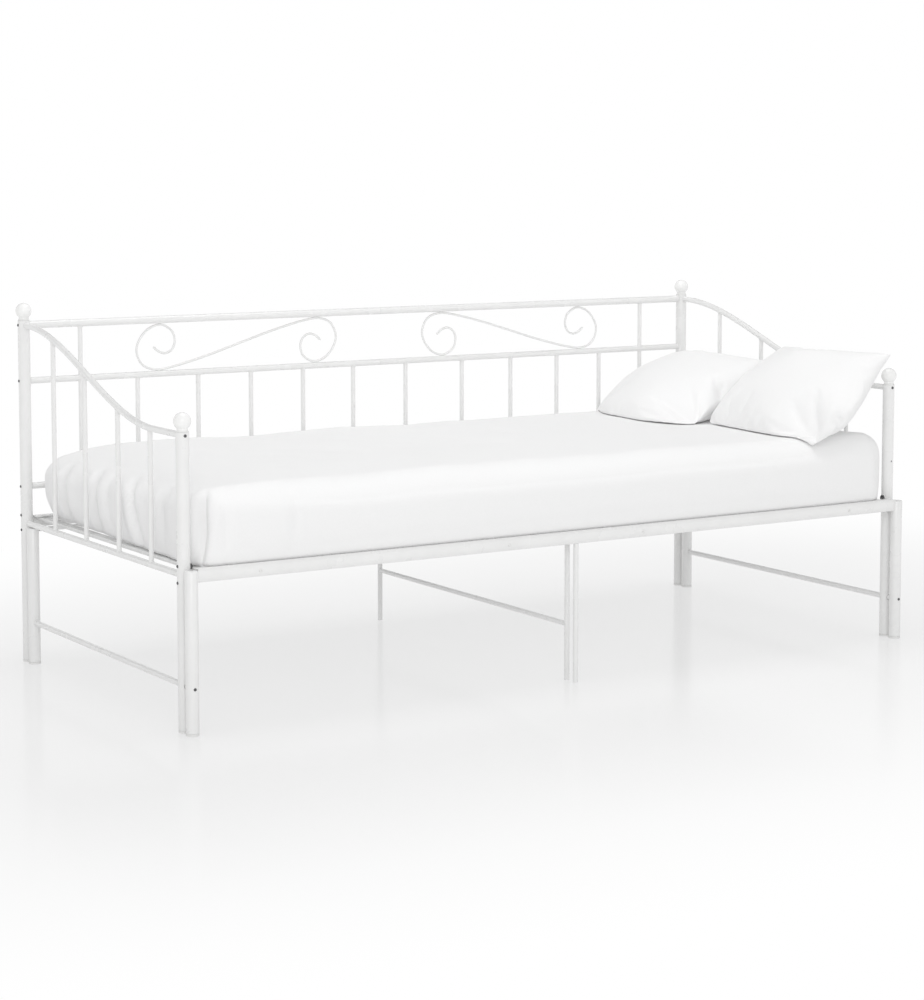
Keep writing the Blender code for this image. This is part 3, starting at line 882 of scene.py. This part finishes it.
def fold_depth(along, height, folds, full_height, lean=1.0):
    """Depth of upright folds at a place along a face; lean stretches the side where along is smaller."""
    rise = np.clip(height / full_height, 0, 1)
    strength = np.sin(np.pi * np.clip(0.10 + 0.86 * (1 - rise) ** 0.9, 0, 1)) ** 0.8
    total = np.zeros_like(along)
    for top, bottom, width, depth in folds:
        middle_line = bottom + (top - bottom) * rise ** 1.6
        reach = (along - middle_line) / (width * np.where(along < middle_line, lean, 1 / lean))
        total += depth * strength * (np.exp(-reach ** 2) - 0.22 * np.exp(-((np.abs(reach) - 1.9) / 0.9) ** 2))
    return total


def smooth_noise(places, scale, seed):
    shift = Vector((seed * 3.1, seed * 1.7, seed * 2.3))
    return np.array([noise.noise(Vector(p) * scale + shift) for p in places])


def shape_mattress(places, normals, size):
    """Foam block in a fitted sheet: crowned faces, barrelled and gathered ends, soft dents on top."""
    half = np.array(size) / 2
    x, y, z = places.T
    u, v, w = x / half[0], y / half[1], z / half[2]
    left = np.clip(-normals[:, 0], 0, 1)
    right = np.clip(normals[:, 0], 0, 1)
    front = np.clip(-normals[:, 1], 0, 1)
    top = np.clip(normals[:, 2], 0, 1)
    near_end = np.clip((np.abs(x) - half[0] + 0.10) / 0.10, 0, 1) ** 2
    behind = np.clip(0.75 + v, 0, 1.5) / 1.5
    tuck_depth = np.where(x < 0, 0.026 * behind, 0.011)
    tuck = tuck_depth * np.clip(-w, 0, 1) ** 2.2 + 0.010 * behind * v ** 6
    droop = 0.033 * np.clip((-x - half[0] + 0.24) / 0.24, 0, 1) ** 1.9 * (0.35 + 0.65 * behind)
    height = z + half[2]
    moved = places.copy()
    end_bulge = np.abs(normals[:, 0]) * 0.007 * (1 - v ** 4) * (1 - w ** 2)
    moved[:, 0] += np.sign(x) * (end_bulge - near_end * tuck)
    moved[:, 0] += left * fold_depth(y, height, LEFT_FOLDS, size[2], 1.5)
    moved[:, 0] -= right * fold_depth(y, height, RIGHT_FOLDS, size[2], 1.3)
    bulge = 0.011 * np.clip(1 - ((w + 0.12) / 1.15) ** 2, 0, 1) * (1 - u ** 8)
    moved[:, 1] += front * (fold_depth(x, height, FRONT_FOLDS, size[2]) - bulge)
    flat = places * [1, 1, 0]
    waves = smooth_noise(flat, 4.2, 3) * 0.005 + smooth_noise(flat, 11.0, 5) * 0.0022
    calm = np.clip((0.45 - x) / 0.2, 0.25, 1)
    crown = 0.005 * (1 - v ** 4) * (1 - u ** 6)
    moved[:, 2] += top * (waves + crown) * calm - np.clip(w, 0, 1) * droop
    return moved


def read_places(piece):
    flat = np.empty(len(piece.data.vertices) * 3, np.float32)
    piece.data.vertices.foreach_get("co", flat)
    return flat.reshape(-1, 3).astype(float)


def write_places(piece, places):
    piece.data.vertices.foreach_set("co", places.astype(np.float32).ravel())
    piece.data.update()


def add_cloth(piece, tension, bending, pressure, gravity, frames):
    modifier = piece.modifiers.new("cloth", "CLOTH")
    settings = modifier.settings
    settings.quality = 6
    settings.mass = 0.25
    settings.tension_stiffness = tension
    settings.compression_stiffness = tension
    settings.shear_stiffness = tension / 2
    settings.bending_stiffness = bending
    settings.tension_damping = 10
    settings.compression_damping = 10
    settings.use_pressure = True
    settings.uniform_pressure_force = pressure
    settings.effector_weights.gravity = gravity
    modifier.point_cache.frame_start = 1
    modifier.point_cache.frame_end = frames
    return modifier


def run_cloth(piece, frames):
    """Step the simulation to its last frame and keep that shape."""
    scene = bpy.context.scene
    for number in range(1, frames + 1):
        scene.frame_set(number)
    apply_modifiers(piece)
    scene.frame_set(1)


def tighten(piece):
    """The sheet pulls its folds tight over the foam, which holds every point within a few millimetres."""
    start = read_places(piece)
    add_cloth(piece, 20.0, 0.6, 3.0, 0.0, SHEET_FRAMES)
    run_cloth(piece, SHEET_FRAMES)
    offset = read_places(piece) - start
    distance = np.maximum(np.linalg.norm(offset, axis=1), 1e-9)
    share = np.minimum(1.0, SHEET_GIVE / distance)
    write_places(piece, start + offset * share[:, None])


def subdivide(piece):
    modifier = piece.modifiers.new("smooth", "SUBSURF")
    modifier.levels = 1
    modifier.render_levels = 1
    apply_modifiers(piece)


def new_skin(name, places, faces, material, body):
    mesh = bpy.data.meshes.new(name)
    mesh.from_pydata([tuple(p) for p in places], [], faces)
    mesh.shade_smooth()
    mesh.materials.append(material)
    piece = add_object(name, mesh)
    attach(piece, body)
    return piece


def surface_tree(piece):
    return BVHTree.FromObject(piece, bpy.context.evaluated_depsgraph_get())


def build_mattress():
    low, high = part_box("mattress")
    size = high - low
    centre = (low + high) / 2
    flat, faces = shell_grid(size, MATTRESS_CELLS)
    half_length = size.x / 2
    spread = flat[:, 0] / half_length
    flat[:, 0] = half_length * spread * (1.25 - 0.25 * spread ** 2)      # finer towards the ends
    places, normals = round_box(flat, size)
    places = shape_mattress(places, normals, size) + np.array(centre)
    piece = new_skin("mattress_in_sheet", places, faces, SHEET, "mattress")
    tighten(piece)
    settled = read_places(piece)
    hem = np.clip(1 - (settled[:, 2] - low.z) / HEM_HEIGHT, 0, 1)
    settled[:, 2] = np.maximum(settled[:, 2] - HEM_DROP * hem, low.z)
    settled[:, 1] = np.minimum(settled[:, 1], high.y + 0.001)
    write_places(piece, settled)
    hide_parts("mattress")
    return piece


# ======== pillows ========
def point_along(path, share):
    """Point at a share of the way along a path of equal steps."""
    step, rest = divmod(share * (len(path) - 1), 1)
    first = path[int(step)]
    return first.lerp(path[min(int(step) + 1, len(path) - 1)], rest)


def on_top(tree, x, y):
    """Point just above the mattress at x, y."""
    hit = tree.ray_cast(Vector((x, y, 1.0)), Vector((0, 0, -1)))[0]
    lift = max(0.0, noise.noise(Vector((x, y, 0)) * 9)) * EDGE_LIFT
    return np.array((x, y, hit.z + SKIN_GAP + lift))


def pillow_skin(node, tree):
    """Two layers joined at the rim, barely puffed: places, faces, and the points that are held still."""
    low = smooth_path([Vector((*spot, 0)) for spot in PILLOW_LOW_EDGE[node]], 12)
    high_far, high_near = (np.array(corner) for corner in PILLOW_HIGH_CORNERS[node])
    low_far, low_near = (np.array((*low[end].xy, high_far[2] - 0.15)) for end in (0, -1))
    length = sum((b - a).length for a, b in zip(low, low[1:]))
    across = round(float(np.linalg.norm(high_far - low_far)) / PILLOW_CELL)
    along = round(length / PILLOW_CELL)
    up = np.cross(low_near - low_far, high_far - low_far)
    up /= np.linalg.norm(up)
    far_cut, near_cut = SIDE_CUT[node]
    places = []
    index = {}
    faces = []
    for layer in (1, -1):
        for i in range(across + 1):
            for j in range(along + 1):
                rim = i in (0, across) or j in (0, along)
                if rim and layer == -1:
                    index[layer, i, j] = index[1, i, j]
                    continue
                s = i / across
                t = j / along
                spot = point_along(low, t)
                base = on_top(tree, spot.x, spot.y)
                flat = (1 - s) * base + s * ((1 - t) * high_far + t * high_near)
                flat[1] += (far_cut * (1 - t) ** 3 - near_cut * t ** 3) * 6.75 * s * (1 - s) ** 2
                index[layer, i, j] = len(places)
                places.append(flat + up * 0.25 * layer * s * (1 - s) * t * (1 - t))
        for i in range(across):
            for j in range(along):
                face = [index[layer, i + di, j + dj] for di, dj in ((0, 0), (1, 0), (1, 1), (0, 1))]
                faces.append(face if layer == 1 else face[::-1])
    held = [index[1, 0, j] for j in range(along + 1)] + [index[1, across, 0], index[1, across, along]]
    return np.array(places), faces, held


def set_solid(piece):
    """Let cloth meet this piece."""
    piece.modifiers.new("collision", "COLLISION")
    piece.collision.thickness_outer = SKIN_GAP
    piece.collision.cloth_friction = 20.0


def end_panel_stop():
    """Upright board on the inner face of the right end panel, for the pillows to lean on."""
    low, high = STOP_HEIGHTS
    outline = ((STOP_REACH, low), (-STOP_REACH, low), (-STOP_REACH, high), (STOP_REACH, high))
    bm = bmesh.new()
    bm.faces.new([bm.verts.new((PANEL_FACE, y, z)) for y, z in outline])
    stop = add_object("end_panel_stop", mesh_from("end_panel_stop", bm))
    set_solid(stop)
    return stop


def fill_pillow(piece, held, slack):
    """Grow the case to its cut size, fill it, and let it rest on what it touches."""
    group = piece.vertex_groups.new(name="held")
    group.add(held, 1.0, "REPLACE")
    modifier = add_cloth(piece, 15.0, 0.5, PILLOW_PRESSURE, PILLOW_GRAVITY, PILLOW_FRAMES)
    modifier.settings.shrink_min = 1 - slack
    modifier.settings.vertex_group_mass = "held"
    modifier.collision_settings.distance_min = SKIN_GAP
    run_cloth(piece, PILLOW_FRAMES)


def build_pillow(node, tree):
    skin, faces, held = pillow_skin(node, tree)
    piece = new_skin(f"{node}_case", skin, faces, CASE, node)
    fill_pillow(piece, held, PILLOW_SLACK[node])
    subdivide(piece)
    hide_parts(node)
    return piece


def build_bedding():
    """Mattress first, then each pillow on it, so that each meets what is already there."""
    mattress = build_mattress()
    tree = surface_tree(mattress)
    stop = end_panel_stop()
    solids = [mattress]
    set_solid(mattress)
    for node in PILLOW_LOW_EDGE:
        pillow = build_pillow(node, tree)
        set_solid(pillow)
        solids.append(pillow)
    bpy.data.objects.remove(stop)
    for piece in solids:
        piece.modifiers.clear()


# ======== studio ========
def floor_material():
    """Pale floor with painted light: a white glow makes up half of it under and beside the bed, lifting its
    shade there, and all of it away from the bed, where it melts into white.
    """
    material = new_material("studio_floor", (0.73, 0.73, 0.73), 0.15)
    place = object_place(material)
    inside = add_node(material, "ShaderNodeVectorMath", {0: place}, operation="ABSOLUTE")
    beyond = add_node(material, "ShaderNodeVectorMath", {0: inside.outputs[0], 1: (1.20, 0.40, 0.0)},
                      operation="SUBTRACT")
    outside = add_node(material, "ShaderNodeVectorMath", {0: beyond.outputs[0], 1: (0.0, 0.0, 0.0)},
                       operation="MAXIMUM")
    distance = add_node(material, "ShaderNodeVectorMath", {0: outside.outputs[0]}, operation="LENGTH")
    painted_glow_share = add_node(material, "ShaderNodeMapRange",
                    {"Value": distance.outputs["Value"], "From Min": 0.08, "From Max": 1.72, "To Min": 0.50},
                    interpolation_type="SMOOTHSTEP")
    # painted light: the floor's own white glow, mixed in at half beside the bed and in full far from it
    glow = add_node(material, "ShaderNodeEmission", {"Color": (1, 1, 1, 1), "Strength": 1.0})
    mix = add_node(material, "ShaderNodeMixShader", {"Fac": painted_glow_share.outputs["Result"]})
    tree = material.node_tree
    tree.links.new(tree.nodes["Principled BSDF"].outputs["BSDF"], mix.inputs[1])
    tree.links.new(glow.outputs["Emission"], mix.inputs[2])
    tree.links.new(mix.outputs["Shader"], tree.nodes["Material Output"].inputs["Surface"])
    return material


def glowing(name, strength):
    material = bpy.data.materials.new(name)
    material.use_nodes = True
    glow = add_node(material, "ShaderNodeEmission", {"Strength": strength})
    tree = material.node_tree
    tree.links.new(glow.outputs["Emission"], tree.nodes["Material Output"].inputs["Surface"])
    return material


def build_stage():
    bm = bmesh.new()
    bmesh.ops.create_grid(bm, x_segments=8, y_segments=8, size=30.0)
    mesh = mesh_from("floor", bm)
    mesh.materials.append(floor_material())
    floor = add_object("floor", mesh)
    bm = bmesh.new()
    bmesh.ops.create_icosphere(bm, subdivisions=4, radius=28.0)
    mesh = mesh_from("backdrop", bm)
    mesh.materials.append(glowing("backdrop_white", 1.0))
    backdrop = add_object("backdrop", mesh)
    backdrop.visible_diffuse = False
    backdrop.visible_glossy = False
    backdrop.visible_transmission = False
    backdrop.visible_shadow = False


def add_softbox(name, location, target, size, power):
    light = bpy.data.lights.new(name, "AREA")
    light.shape = "RECTANGLE"
    light.size = size[0]
    light.size_y = size[1]
    light.energy = power
    lamp = add_object(name, light)
    lamp.location = location
    aim = Vector(target) - Vector(location)
    lamp.rotation_euler = aim.to_track_quat("-Z", "Y").to_euler()
    lamp.visible_camera = False


def build_world():
    """White room, brighter on the open front's side, so that round tubes darken towards their edges."""
    world = bpy.data.worlds.new("studio")
    world.use_nodes = True
    way = add_node(world, "ShaderNodeTexCoord").outputs["Generated"]
    inputs = {0: way, 1: ROOM_FACING}
    facing = add_node(world, "ShaderNodeVectorMath", inputs, operation="DOT_PRODUCT")
    level = mapped(world, facing.outputs["Value"], ROOM_BACK, ROOM_FRONT, -0.6, 0.6)
    background = world.node_tree.nodes["Background"]
    background.inputs["Color"].default_value = (1, 1, 1, 1)
    world.node_tree.links.new(level, background.inputs["Strength"])
    bpy.context.scene.world = world


def add_card(name, corners, strength):
    """Card that only shows in gloss: it neither lights the bed nor stands in any picture."""
    bm = bmesh.new()
    bm.faces.new([bm.verts.new(corner) for corner in corners])
    mesh = mesh_from(name, bm)
    mesh.materials.append(glowing(f"{name}_white", strength))
    card = add_object(name, mesh)
    card.visible_camera = False
    card.visible_diffuse = False
    card.visible_shadow = False


def build_cards():
    """A bright wall behind the bed for the floor's gloss, and a dim ceiling over the tubes and balls."""
    wall = [(-6.0, 6.5, 0.2), (8.0, 4.5, 0.2), (8.0, 4.5, 2.6), (-6.0, 6.5, 2.6)]
    ceiling = [(-9.0, -9.0, 4.6), (9.0, -9.0, 4.6), (9.0, 9.0, 4.6), (-9.0, 9.0, 4.6)]
    add_card("wall_card", wall, 1.0)
    add_card("ceiling_card", ceiling, 0.12)


def build_lights():
    build_world()
    build_cards()
    for softbox in SOFTBOXES:
        add_softbox(*softbox)


def build_camera():
    """Standing at the left of the open front, a little above the bed."""
    camera = bpy.data.cameras.new("camera")
    camera.lens = 88.4
    camera.sensor_width = 36.0
    camera.shift_y = -0.12
    eye = add_object("camera", camera)
    eye.location = (-3.3316, -5.2602, 1.2785)
    eye.rotation_euler = (math.radians(90 - 5.353), 0, math.radians(-32.126))
    bpy.context.scene.camera = eye
    bpy.context.scene.view_settings.view_transform = "Standard"


def main():
    build_camera()
    build_uprights()
    for side in SIDES:
        build_back_panel(side)
        build_scroll(side)
        build_side_panel(side)
    build_deck()
    build_rods()
    build_frame_bolts()
    build_pullout_bolts()
    build_rail_screws()
    build_rail_welds()
    build_bedding()
    build_stage()
    build_lights()


main()
